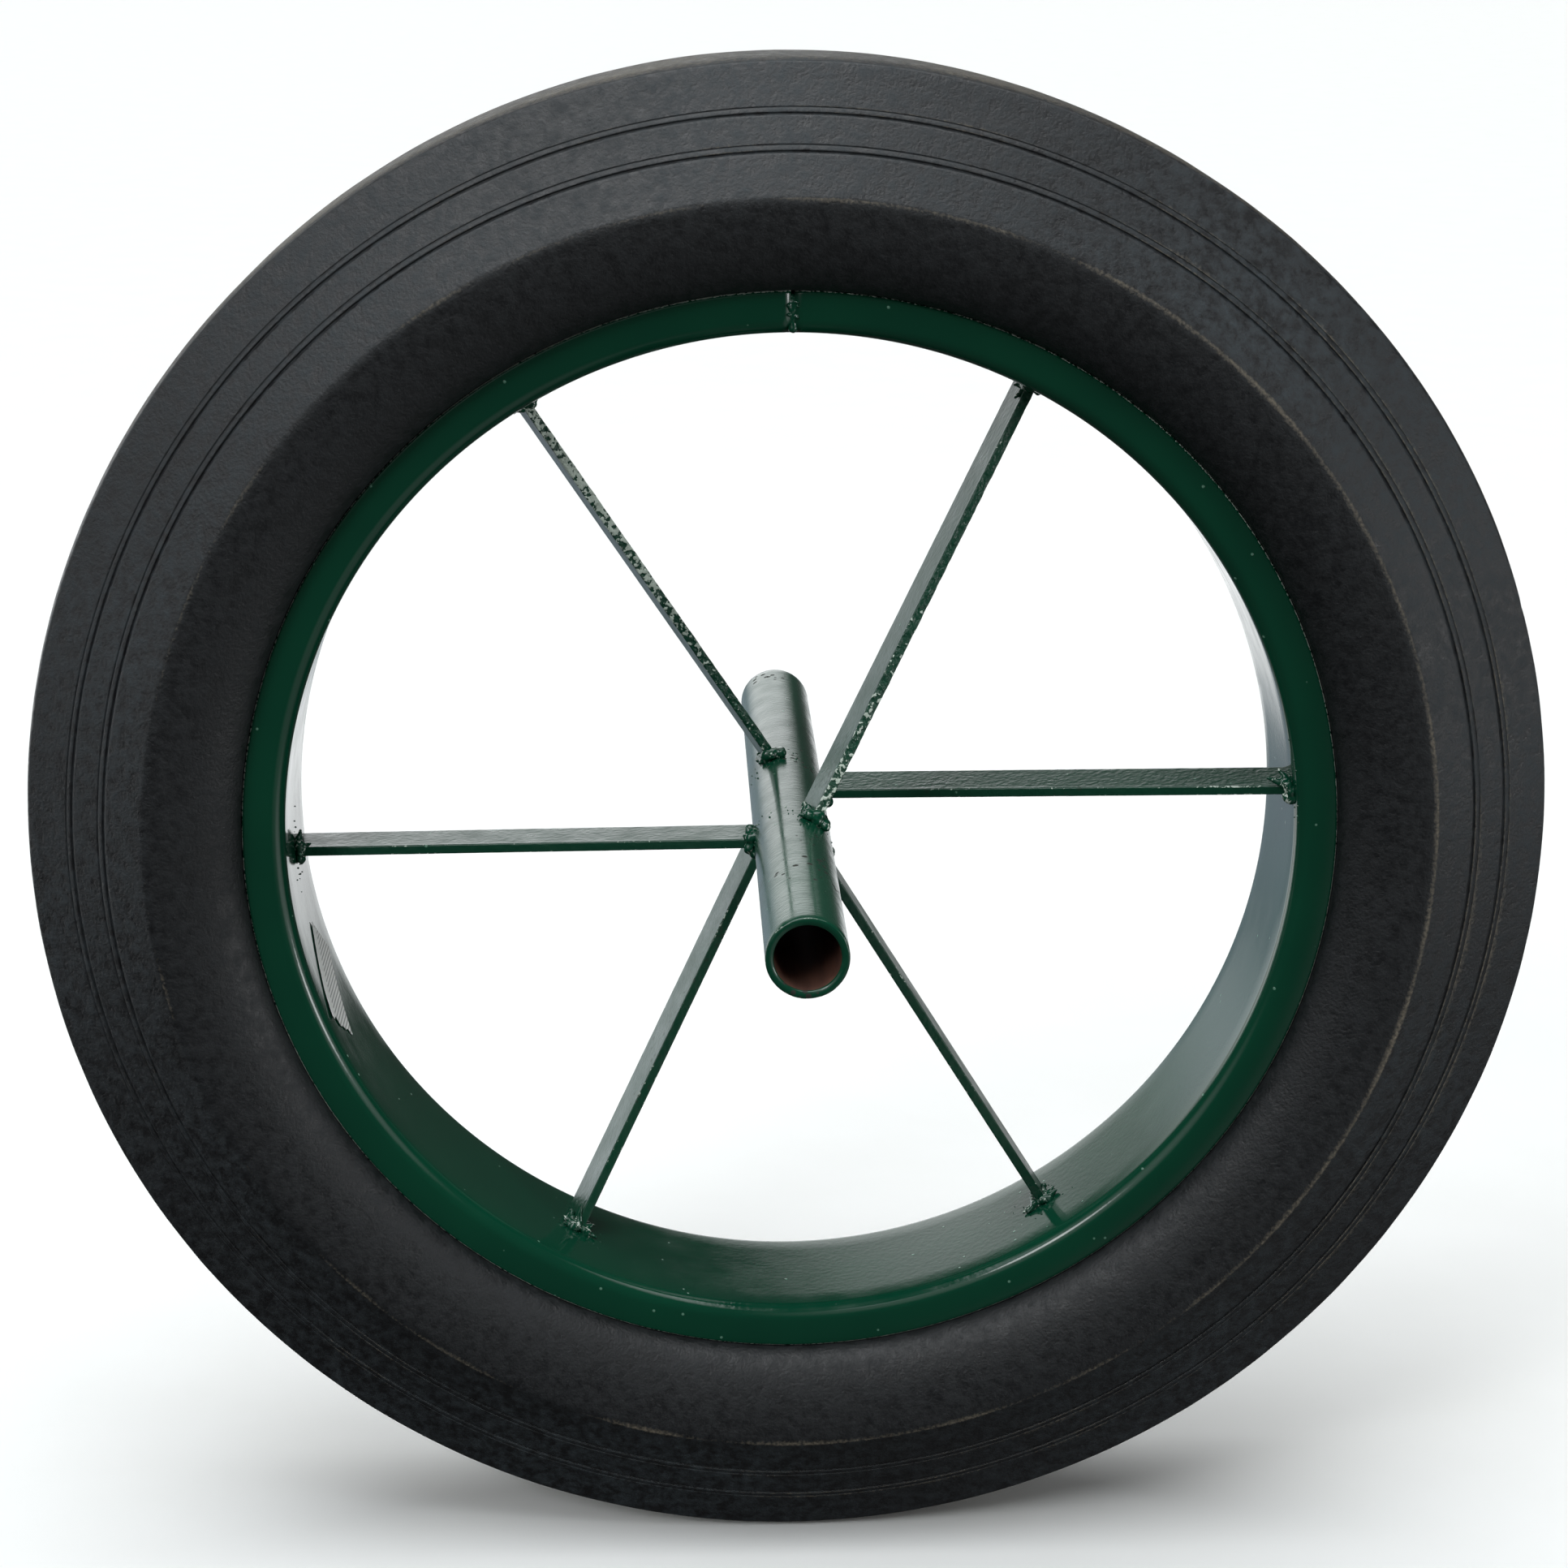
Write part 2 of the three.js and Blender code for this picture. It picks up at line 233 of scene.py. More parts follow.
def green_enamel(name, sheen, brushed, pitting, peeled):
    """Dipped green enamel over mild steel. It is glossy and slightly wavy, with dust nibs under the
    gloss, and it is chipped to pale primer where it was sharp or torn. Along torn spoke edges the same
    pale colour is laid on as painted glints, and on the welds its pale patches are partly painted
    reflection. sheen is its lowest and highest roughness, brushed is how far it follows the fine rings
    left on the steel by grinding, pitting is how dark its rust pits are, and peeled is the height of
    its orange peel in millimetres."""
    material, tree, shader = new_finish(name)
    place = add(tree, "TexCoord").outputs["Object"]
    wear = add(tree, "Attribute", attribute_name="wear").outputs["Fac"]
    cloud = add(tree, "TexNoise", {"Vector": place, "Scale": grain(28), "Detail": 3.0})
    depth = add(tree, "Mix", {"Factor": cloud.outputs["Fac"], "A": linear("#073828"),
                              "B": linear("#0a442f")}, data_type="RGBA")
    crumbs = add(tree, "TexNoise", {"Vector": place, "Scale": grain(0.8), "Detail": 3.0})
    worn = add(tree, "Math", {0: wear, 1: crumbs.outputs["Fac"]}, operation="ADD")
    # Chips to pale primer; on the welds these pale patches are partly painted reflection
    chips = add(tree, "MapRange", {"Value": worn.outputs[0], "From Min": 1.16, "From Max": 1.22})
    nib_cells = add(tree, "TexVoronoi", {"Vector": place, "Scale": grain(7)})
    nibs = add(tree, "MapRange", {"Value": nib_cells.outputs["Distance"], "From Min": 0.04,
                                  "From Max": 0.065, "To Min": 1.0, "To Max": 0.0})
    speckled = add(tree, "Mix", {"Factor": nibs.outputs[0], "A": depth.outputs["Result"],
                                 "B": linear("#5f8a76")}, data_type="RGBA")
    torn = add(tree, "Attribute", attribute_name="torn").outputs["Fac"]
    crags = add(tree, "TexNoise", {"Vector": place, "Scale": grain(1.3), "Detail": 3.0})
    jagged = add(tree, "Math", {0: crags.outputs["Fac"], 1: torn}, operation="MULTIPLY")
    # Painted glints: pale flecks along torn edges stand in for the bright glints on the lumpy gloss
    painted_glints = add(tree, "MapRange", {"Value": jagged.outputs[0], "From Min": 0.43, "From Max": 0.46})
    chips_and_painted_glints = add(tree, "Math", {0: chips.outputs[0], 1: painted_glints.outputs[0]}, operation="MAXIMUM")
    colour = add(tree, "Mix", {"Factor": chips_and_painted_glints.outputs[0], "A": speckled.outputs["Result"],
                               "B": linear("#c3cfc3")}, data_type="RGBA")
    haze = add(tree, "TexNoise", {"Vector": place, "Scale": grain(9), "Detail": 4.0})
    gloss = add(tree, "MapRange", {"Value": haze.outputs["Fac"], "From Min": 0.3, "From Max": 0.7,
                                   "To Min": sheen[0], "To Max": sheen[1]})
    rough = add(tree, "Mix", {"Factor": chips.outputs[0], "A": gloss.outputs[0], "B": 0.5})
    peel = add(tree, "TexNoise", {"Vector": place, "Scale": grain(1.6), "Detail": 1.0})
    ripple = add(tree, "Bump", {"Height": peel.outputs["Fac"], "Distance": peeled * MM})
    sheared = add(tree, "Bump", {"Height": jagged.outputs[0], "Distance": 1.0 * MM,
                                 "Normal": ripple.outputs[0]})
    rings = add(tree, "Mapping", {"Vector": place, "Scale": (0.12, 1.0, 0.12)})
    brush = add(tree, "TexNoise", {"Vector": rings.outputs[0], "Scale": grain(0.7), "Detail": 2.0})
    ground = add(tree, "Bump", {"Height": brush.outputs["Fac"], "Distance": brushed * MM,
                                "Normal": sheared.outputs[0]})
    pit_cells = add(tree, "TexVoronoi", {"Vector": place, "Scale": grain(2.6)})
    crowd = add(tree, "TexNoise", {"Vector": place, "Scale": grain(24), "Detail": 1.0})
    crowded = add(tree, "MapRange", {"Value": crowd.outputs["Fac"], "From Min": 0.5, "From Max": 0.72,
                                     "To Min": 0.0, "To Max": 0.3})
    pits = add(tree, "Math", {0: pit_cells.outputs["Distance"], 1: crowded.outputs[0]},
               operation="LESS_THAN")
    nibbed = add(tree, "Bump", {"Height": nibs.outputs[0], "Distance": 0.06 * MM,
                                "Normal": ground.outputs[0]})
    edge = add(tree, "Bump", {"Height": chips.outputs[0], "Distance": 0.05 * MM,
                              "Normal": nibbed.outputs[0]}, invert=True)
    pitted = add(tree, "Math", {0: pits.outputs[0], 1: pitting}, operation="MULTIPLY")
    final = add(tree, "Mix", {"Factor": pitted.outputs[0], "A": colour.outputs["Result"],
                              "B": linear("#1d1a15")}, data_type="RGBA")
    dull = add(tree, "Mix", {"Factor": pitted.outputs[0], "A": rough.outputs["Result"], "B": 0.7})
    tree.links.new(final.outputs["Result"], shader.inputs["Base Color"])
    tree.links.new(dull.outputs["Result"], shader.inputs["Roughness"])
    tree.links.new(edge.outputs[0], shader.inputs["Normal"])
    shader.inputs["IOR"].default_value = 1.5
    return material


def black_rubber():
    """Vulcanised black rubber, moulded. It is dull with a satin skin. A blue-grey film lies in patches on
    its shoulder, partly bloom and partly painted sheen. Tan dust lies on the tread, and along the crease
    and beside the grooves lies a pale line that is partly dust and partly painted highlight."""
    material, tree, shader = new_finish("vulcanised_black_rubber")
    place = add(tree, "TexCoord").outputs["Object"]
    wear = add(tree, "Attribute", attribute_name="wear").outputs["Fac"]
    bloom_and_sheen = add(tree, "Attribute", attribute_name="bloom_and_sheen").outputs["Fac"]
    cloud = add(tree, "TexNoise", {"Vector": place, "Scale": grain(18), "Detail": 4.0})
    skin = add(tree, "Mix", {"Factor": cloud.outputs["Fac"], "A": linear("#0a0b0d"),
                             "B": linear("#131518")}, data_type="RGBA")
    patches = add(tree, "TexNoise", {"Vector": place, "Scale": grain(3), "Detail": 7.0,
                                     "Roughness": 0.7})
    patchy = add(tree, "MapRange", {"Value": patches.outputs["Fac"], "From Min": 0.4,
                                    "From Max": 0.66})
    bloom_and_sheen_film = add(tree, "Math", {0: bloom_and_sheen, 1: patchy.outputs[0]}, operation="MULTIPLY")
    # Blue-grey film on the shoulder: partly bloom, partly painted sheen in mottled patches
    with_bloom_and_sheen = add(tree, "Mix", {"Factor": bloom_and_sheen_film.outputs[0], "A": skin.outputs["Result"],
                                "B": linear("#4c585e")}, data_type="RGBA")
    pores = add(tree, "TexNoise", {"Vector": place, "Scale": grain(0.9), "Detail": 4.0})
    dust_and_highlight_grain = add(tree, "Math", {0: wear, 1: pores.outputs["Fac"]}, operation="MULTIPLY")
    dust_and_highlight = add(tree, "MapRange", {"Value": dust_and_highlight_grain.outputs[0], "From Min": 0.2, "From Max": 0.8})
    # Tan dust on the tread; along the crease and the grooves' lips this pale colour is partly painted
    # highlight
    colour = add(tree, "Mix", {"Factor": dust_and_highlight.outputs[0], "A": with_bloom_and_sheen.outputs["Result"],
                               "B": linear("#8f8573")}, data_type="RGBA")
    satin = add(tree, "MapRange", {"Value": patches.outputs["Fac"], "From Min": 0.35,
                                   "From Max": 0.65, "To Min": 0.34, "To Max": 0.68})
    rough = add(tree, "Mix", {"Factor": dust_and_highlight.outputs[0], "A": satin.outputs[0], "B": 0.85})
    soft = add(tree, "Bump", {"Height": patches.outputs["Fac"], "Distance": 0.3 * MM})
    fine = add(tree, "Bump", {"Height": pores.outputs["Fac"], "Distance": 0.14 * MM,
                              "Normal": soft.outputs[0]})
    tree.links.new(colour.outputs["Result"], shader.inputs["Base Color"])
    tree.links.new(rough.outputs["Result"], shader.inputs["Roughness"])
    tree.links.new(fine.outputs[0], shader.inputs["Normal"])
    shader.inputs["IOR"].default_value = 1.52
    return material


def rusty_steel():
    """Bare drawn steel inside the hub, browned all over by rust. It is dull and dark, and isn't
    metallic any more, with lengthwise streaks left by the drawing die."""
    material, tree, shader = new_finish("rusty_drawn_steel")
    place = add(tree, "TexCoord").outputs["Object"]
    streaks = add(tree, "Mapping", {"Vector": place, "Scale": (1.0, 0.12, 1.0)})
    rust = add(tree, "TexNoise", {"Vector": streaks.outputs[0], "Scale": grain(2.2), "Detail": 5.0})
    colour = add(tree, "Mix", {"Factor": rust.outputs["Fac"], "A": linear("#2a1a17"),
                               "B": linear("#6e4a3c")}, data_type="RGBA")
    bump = add(tree, "Bump", {"Height": rust.outputs["Fac"], "Distance": 0.08 * MM})
    tree.links.new(colour.outputs["Result"], shader.inputs["Base Color"])
    tree.links.new(bump.outputs[0], shader.inputs["Normal"])
    shader.inputs["Roughness"].default_value = 0.55
    return material


def label_paper():
    """Matt coated paper. It is white and a little grubby. Its plain printed lines lie along the
    axle, 1.2 mm apart, which is coarser than print so that they show."""
    material, tree, shader = new_finish("matt_coated_paper")
    place = add(tree, "TexCoord").outputs["Object"]
    around = add(tree, "Attribute", attribute_name="around").outputs["Fac"]
    across = add(tree, "Attribute", attribute_name="across").outputs["Fac"]
    fibres = add(tree, "TexNoise", {"Vector": place, "Scale": grain(1.5), "Detail": 5.0})
    paper = add(tree, "Mix", {"Factor": fibres.outputs["Fac"], "A": linear("#dededa"),
                              "B": linear("#fcfcfa")}, data_type="RGBA")
    lines = add(tree, "Math", {0: around, 1: LABEL_LENGTH / LINE_PITCH}, operation="MULTIPLY")
    beat = add(tree, "Math", {0: lines.outputs[0]}, operation="FRACT")
    printed = add(tree, "Math", {0: beat.outputs[0], 1: 0.38}, operation="LESS_THAN")
    margin = add(tree, "MapRange", {"Value": across, "From Min": 0.24, "From Max": 0.26})
    middle = add(tree, "Math", {0: printed.outputs[0], 1: margin.outputs[0]}, operation="MULTIPLY")
    faint = add(tree, "Math", {0: middle.outputs[0], 1: 0.6}, operation="MULTIPLY")
    colour = add(tree, "Mix", {"Factor": faint.outputs[0], "A": paper.outputs["Result"],
                               "B": linear("#55585a")}, data_type="RGBA")
    tree.links.new(colour.outputs["Result"], shader.inputs["Base Color"])
    shader.inputs["Roughness"].default_value = 0.75
    shader.inputs["IOR"].default_value = 1.45
    return material


def pale_floor():
    """Matt white studio paper. It is even, with hardly any grain."""
    material, tree, shader = new_finish("matt_white_studio_paper")
    place = add(tree, "TexCoord").outputs["Object"]
    fibre = add(tree, "TexNoise", {"Vector": place, "Scale": grain(40), "Detail": 2.0})
    colour = add(tree, "Mix", {"Factor": fibre.outputs["Fac"], "A": linear("#f6f6f4"),
                               "B": linear("#fafaf9")}, data_type="RGBA")
    tree.links.new(colour.outputs["Result"], shader.inputs["Base Color"])
    shader.inputs["Roughness"].default_value = 0.9
    return material


RIM_ENAMEL = green_enamel("smooth_green_enamel_over_rolled_steel", (0.07, 0.16), 0.0, 0.0,
                          0.015)
WELD_ENAMEL = green_enamel("thick_green_enamel_over_arc_weld", (0.08, 0.2), 0.0, 0.4,
                           0.03)
BAR_ENAMEL = green_enamel("thin_green_enamel_over_flat_bar", (0.26, 0.38), 0.0, 0.3, 0.16)
HUB_ENAMEL = green_enamel("thin_green_enamel_over_brushed_tube", (0.14, 0.26), 0.03, 0.9,
                          0.03)
RUBBER = black_rubber()
BORE_STEEL = rusty_steel()
PAPER = label_paper()
FLOOR_PAPER = pale_floor()


# ---- Tyre ------------------------------------------------------------------------------------------

GROOVES = [                    # middle radius, width and depth of each fine groove
    (TYRE_RADIUS - 22.2, 1.0, 0.6),
    (TYRE_RADIUS - 20.6, 0.7, 0.25),
    (TYRE_RADIUS - 13.3, 1.0, 0.55),
    (TYRE_RADIUS - 11.8, 0.7, 0.22),
]
GROOVE_STEPS = 4               # points on each side of a groove's middle
SPLICE_ANGLE = 16.8            # where the rubber strip was joined in the mould
SPLICE_SPREAD = 0.35           # how wide the joint is, in degrees
CHANNEL_GAP = 0.1              # between the tyre's foot and the channel's walls
LIP_GAP = 0.15                 # between the flange's lip and the sidewall
FOOT_CHAMFER = 2.2
SIDEWALL_STEPS = 18
TREAD_CORNER = 1.1             # radius of the tread's corner
CORNER_DEPTH = 0.9             # its centre below the crown's edge
CORNER_INSET = 0.6             # and in from the tread's edge
CROWN_DROP = [(14.5, 0.25), (12.0, 0.05), (8.0, 0.0), (3.0, 0.0)]  # place on the tread, and drop there


def shoulder_place(radius):
    """How far the straight shoulder stands from the wheel's middle plane."""
    along = (TYRE_RADIUS - TREAD_CROWN - radius) / (TYRE_RADIUS - TREAD_CROWN - WIDEST_RADIUS)
    return TREAD_EDGE + (TYRE_WIDTH / 2 - TREAD_EDGE) * along


def shoulder_points():
    """The shoulder from the crease to the tread, with a rounded V at each groove."""
    points = []
    plain = WIDEST_RADIUS + 0.8
    for middle, width, depth in GROOVES:
        margin = width * 0.7
        while plain < middle - margin:
            points.append((plain, -shoulder_place(plain)))
            plain += 3.0
        for step in range(-GROOVE_STEPS, GROOVE_STEPS + 1):
            radius = middle + width * step / (2 * GROOVE_STEPS)
            sink = depth * (0.5 + 0.5 * math.cos(math.pi * step / GROOVE_STEPS))
            points.append((radius, -shoulder_place(radius) + sink))
        plain = middle + margin
    while plain < TYRE_RADIUS - 2.0:
        points.append((plain, -shoulder_place(plain)))
        plain += 2.5
    return points


def tyre_profile():
    """Half the tyre's section, from inside the rim round to the middle of the tread."""
    foot = RIM_FACE + RIM_WALL + CHANNEL_GAP
    wall = RIM_WIDTH / 2 - RIM_WALL - CHANNEL_GAP
    lip = RIM_RADIUS + LIP_GAP
    bulge = WIDEST_RADIUS - lip
    reach = (TYRE_WIDTH - RIM_WIDTH) / 2
    inside = [(foot, -wall + FOOT_CHAMFER), (foot + FOOT_CHAMFER, -wall), (lip, -wall)]
    sidewall = []
    for step in range(SIDEWALL_STEPS + 1):
        angle = math.radians(90 - 90 * step / SIDEWALL_STEPS)
        sidewall.append((WIDEST_RADIUS - bulge * math.sin(angle),
                         -RIM_WIDTH / 2 - reach * math.cos(angle)))
    tread = arc(TYRE_RADIUS - TREAD_CROWN - CORNER_DEPTH, -TREAD_EDGE + CORNER_INSET, TREAD_CORNER,
                -60, -10, 4)
    crown = [(TYRE_RADIUS - drop, -place) for place, drop in CROWN_DROP]
    return inside + sidewall + shoulder_points() + tread + crown


def tyre_dust_and_highlight(point):
    """Tan dust on the tread. Along the crease and on the outer lip of each groove lies a pale line that
    is partly dust and partly painted highlight, stronger on the wheel's right.
    """
    radius = spread(point)
    tread = share((radius - TYRE_RADIUS + 1.3) / 0.8) * (0.6 + 0.15 * waves(point, 30, 6))
    # Painted highlight mixed with dust: the crease and groove lines are made paler towards +X, the
    # wheel's right, where they catch the light
    crease = fade(abs(radius - WIDEST_RADIUS), 1.1)
    crease *= 0.55 + 0.25 * point.x / WIDEST_RADIUS + 0.5 * waves(point, 22, 3)
    lips = [abs(radius - middle - width / 2) for middle, width, _ in GROOVES]
    groove = fade(min(lips), 0.4)
    groove *= 0.5 + 0.2 * point.x / WIDEST_RADIUS + 0.4 * waves(point, 26, 7)
    return share(max(tread, crease, groove))


def tyre_bloom_and_sheen(point):
    """A blue-grey film, partly bloom and partly painted sheen, lies on the shoulder and hardly at all on
    the sidewall.
    """
    shoulder = share((spread(point) - WIDEST_RADIUS + 0.5) / 2.0)
    return 0.04 + shoulder * share(0.2 + 0.16 * waves(point, 60, 5))


def tyre():
    """The moulded tyre, with the slight unevenness of hand-pressed rubber."""
    bm = outline(mirrored(tyre_profile()))
    turn_ring(bm, RING_STEPS)

    def uneven(point):
        """Slow waves, small bumps and a dent at the splice, but none where the rim holds the tyre."""
        radius = spread(point)
        if radius < RIM_RADIUS + 1:
            return 0.0
        angle = math.degrees(math.atan2(point.z, point.x))
        splice = math.exp(-((angle - SPLICE_ANGLE) / SPLICE_SPREAD) ** 2)
        bead = min((radius - RIM_RADIUS - 1) / 6, 1.0)
        return bead * (0.12 * waves(point, 34, 1) + 0.06 * waves(point, 9, 2) - 0.3 * splice)

    swell(bm, bm.verts, uneven)
    mark(bm, "wear", tyre_dust_and_highlight)
    mark(bm, "bloom_and_sheen", tyre_bloom_and_sheen)
    return finish_piece(bm, "moulded_tyre", ["tyre"], [RUBBER])


# ---- Rim -------------------------------------------------------------------------------------------


def rim_profile():
    """Half the channel's section: the base's inner face, the bend, the flange and its round lip."""
    edge = RIM_WIDTH / 2
    bend_radius = RIM_FACE + RIM_BEND
    bend_place = -edge + RIM_BEND
    lip = RIM_WALL * 0.4
    face = [(RIM_FACE, -3.0), (RIM_FACE, -9.0), (RIM_FACE, -15.0)]
    outside = arc(bend_radius, bend_place, RIM_BEND, 180, 270, 10)
    front_lip = arc(RIM_RADIUS - lip, -edge + lip, lip, 270, 360, 4)
    back_lip = arc(RIM_RADIUS - lip, -edge + RIM_WALL - lip, lip, 0, 90, 4)
    inside = arc(bend_radius, bend_place, RIM_BEND - RIM_WALL, 270, 180, 6)
    return face + outside + front_lip + back_lip + inside


def rim():
    """The rolled channel, bent to a hoop, with its two cut ends facing each other at the seam."""
    half_gap = math.degrees(SEAM_GAP / 2 / RIM_RADIUS)
    bm = outline(mirrored(rim_profile()))
    bmesh.ops.contextual_create(bm, geom=bm.edges[:])
    start = Matrix.Rotation(math.radians(-(SEAM_ANGLE + half_gap)), 4, "Y")
    bmesh.ops.transform(bm, matrix=start, verts=bm.verts)
    bmesh.ops.spin(bm, geom=bm.verts[:] + bm.edges[:] + bm.faces[:], cent=(0, 0, 0),
                   axis=(0, -1, 0), dvec=(0, 0, 0), angle=math.radians(360 - 2 * half_gap),
                   steps=RING_STEPS, use_merge=False)
    bmesh.ops.remove_doubles(bm, verts=bm.verts, dist=0.0005)
    swell(bm, bm.verts, lambda point: 0.07 * waves(point, 45, 4))

    def lip_wear(point):
        """Worn at the flange's lip, and a little on the bend."""
        lip = share((spread(point) - RIM_RADIUS + 0.6) / 0.3)
        bend = 0.35 * fade(abs(spread(point) - RIM_FACE - 1.2), 0.8)
        return share(max(lip * (0.78 + 0.2 * waves(point, 60, 6)), bend))

    mark(bm, "wear", lip_wear)
    return finish_piece(bm, "rolled_rim", ["rim"], [RIM_ENAMEL])


# ---- Hub -------------------------------------------------------------------------------------------


HUB_LOOPS = (0.5, 3.0, 12.0, 45.0, 90.0)   # places of the loops along the tube, from its end
CUT_DEPTH = 0.4                # how far the roughness of the sawn end reaches


def hub():
    """The hub tube: painted outside and on its cut ends, bare inside."""
    end = HUB_LENGTH / 2
    bore = HUB_RADIUS - HUB_WALL
    half = [(bore, 0.0)] + [(bore, -end + place) for place in reversed(HUB_LOOPS)]
    half += [(bore + 0.25, -end), (HUB_RADIUS - 0.45, -end), (HUB_RADIUS - 0.1, -end + 0.15)]
    half += [(HUB_RADIUS, -end + place) for place in HUB_LOOPS]
    bm = outline(half + [(radius, -place) for radius, place in reversed(half[1:])])
    turn_ring(bm, HUB_STEPS)
    for face in bm.faces:
        face.material_index = int(all(spread(vert.co) < bore + 0.1 for vert in face.verts))
    ends = [vert for vert in bm.verts if abs(vert.co.y) > end - CUT_DEPTH]
    swell(bm, ends, lambda point: 0.12 * waves(point, 2.2, 8))

    def end_wear(point):
        """Worn at the inner and outer edge of each cut end."""
        near_end = abs(point.y) > end - CUT_DEPTH
        edge = fade(min(abs(spread(point) - HUB_RADIUS), abs(spread(point) - bore)), 0.5)
        return share(near_end * edge * (0.76 + 0.35 * waves(point, 7, 9)))

    mark(bm, "wear", end_wear)
    return finish_piece(bm, "hub_pipe", ["hub_tube"], [HUB_ENAMEL, BORE_STEEL])


# ---- Spokes ----------------------------------------------------------------------------------------


def bar_frame(number):
    """Where a spoke lies, read from the four long edges of its CAD bar. Gives a matrix whose X runs
    outwards along the bar, Y to the front and Z to the side, and the bar's width and thickness."""
    bm = bmesh.new()
    bm.from_mesh(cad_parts[f"spoke_{number}"].data)
    bmesh.ops.scale(bm, vec=(1 / MM, 1 / MM, 1 / MM), verts=bm.verts)
    bmesh.ops.remove_doubles(bm, verts=bm.verts, dist=0.01)
    bmesh.ops.dissolve_limit(bm, angle_limit=math.radians(1), verts=bm.verts, edges=bm.edges)
    long_edges = sorted(bm.edges, key=lambda edge: edge.calc_length())[-4:]
    runs = []
    for edge in long_edges:
        inner, outer = sorted((vert.co.copy() for vert in edge.verts), key=spread)
        runs.append((inner, outer))
    bm.free()
    along = sum((outer - inner for inner, outer in runs), Vector()).normalized()
    middles = [(inner + outer) / 2 for inner, outer in runs]
    centre = sum(middles, Vector()) / 4
    flat = [middle - along * (middle - centre).dot(along) for middle in middles]
    near = sorted(flat[1:], key=lambda other: (other - flat[0]).length)
    thick = near[0] - flat[0]
    front = near[1] - flat[0]
    width = front.length
    if front.y > 0:
        front.negate()
    side = along.cross(front).normalized()
    basis = Matrix((along, front.normalized(), side)).transposed()
    return Matrix.Translation(centre) @ basis.to_4x4(), width, thick.length


def cut(bm, point, normal):
    """Cuts away what lies beyond a plane and closes the cut."""
    geometry = bm.verts[:] + bm.edges[:] + bm.faces[:]
    bmesh.ops.bisect_plane(bm, geom=geometry, dist=0.0001, plane_co=point, plane_no=normal,
                           clear_outer=True)
    open_edges = [edge for edge in bm.edges if edge.is_boundary]
    bmesh.ops.holes_fill(bm, edges=open_edges, sides=0)


# How torn an edge is also sets how many pale painted glints it carries
TORN_EDGES = {2: 0.9, 3: 1.0}    # how torn the sheared front edge of a spoke is
WEAR_START = {2: 0.0, 3: 0.75}   # where along the bar the torn edge is worst: 0 at the hub, 1 at the rim
SPARE_LENGTH = 24.0              # of a bar before its ends are cut to the hub and the rim
CORNER_ROUND = 0.32
LOOP_INSETS = (0.5, 1.2, 4.0, 7.5)   # loops beside each edge, which keep its wear off the flat faces
BAR_CUTS = 300
RIM_SINK = 0.9                   # how far a bar's end is sunk in the rim
HUB_SINK = 1.3                   # and in the hub


def spoke(number):
    """One flat bar, rounded at its long corners, with its sheared edges left rough."""
    place, width, thickness = bar_frame(number)
    length = RIM_FACE - HUB_RADIUS + SPARE_LENGTH
    bm = bmesh.new()
    bmesh.ops.create_cube(bm, size=1)
    bmesh.ops.scale(bm, vec=(length, width, thickness), verts=bm.verts)
    long_edges = [edge for edge in bm.edges if edge.calc_length() > length / 2]
    bmesh.ops.bevel(bm, geom=long_edges, offset=CORNER_ROUND, segments=3, profile=0.5,
                    affect="EDGES", material=-1)
    across = [edge for edge in bm.edges
              if edge.verts[0].co.x == edge.verts[1].co.x and abs(edge.verts[0].co.y) > width / 2 - 0.01
              and abs(edge.verts[1].co.y) > width / 2 - 0.01]
    bmesh.ops.subdivide_edges(bm, edges=across, cuts=5)
    for inset in LOOP_INSETS:
        for side in (-1, 1):
            bmesh.ops.bisect_plane(bm, geom=bm.verts[:] + bm.edges[:] + bm.faces[:], dist=0.0001,
                                   plane_co=(0, side * (width / 2 - inset), 0), plane_no=(0, 1, 0))
    long_edges = [edge for edge in bm.edges if edge.calc_length() > length / 2]
    bmesh.ops.subdivide_edges(bm, edges=long_edges, cuts=BAR_CUTS)
    torn = TORN_EDGES.get(number, 0.12)
    worst = WEAR_START.get(number, 0.5)

    def torn_share(along):
        return torn * max(0.68, 1 - 0.6 * abs(along / length + 0.5 - worst))

    for vert in bm.verts:
        if vert.co.y > width / 2 - 0.4:
            bumps = waves(vert.co, 2.3, number) + 0.5 * waves(vert.co, 1.1, number + 20)
            vert.co.y += 0.5 * torn_share(vert.co.x) * bumps
            vert.co.z *= 1 + 0.08 * torn * waves(vert.co, 3, number + 30)
        elif vert.co.y < -width / 2 + 0.4:
            vert.co.y += 0.12 * waves(vert.co, 2.3, number + 40)
    corner_y = width / 2 - 0.2
    corner_z = thickness / 2 - 0.3

    def corner_wear(point):
        near = abs(point.y) > corner_y - 0.2 and abs(point.z) > corner_z - 0.1
        return near * share(0.5 + 0.22 * waves(point, 14, number + 50))

    # Marks the torn edge, which roughens the shading and carries the painted glints
    def torn_and_glinting_edge(point):
        return (point.y > corner_y - 0.4) * torn_share(point.x)

    mark(bm, "wear", corner_wear)
    mark(bm, "torn", torn_and_glinting_edge)
    bmesh.ops.transform(bm, matrix=place, verts=bm.verts)
    outwards = Vector((place.translation.x, 0, place.translation.z)).normalized()
    cut(bm, outwards * (RIM_FACE + RIM_SINK), outwards)
    cut(bm, outwards * (HUB_RADIUS - HUB_SINK), -outwards)
    return finish_piece(bm, f"flat_spoke_{number}", [f"spoke_{number}"], [BAR_ENAMEL])


# ---- Welds -----------------------------------------------------------------------------------------

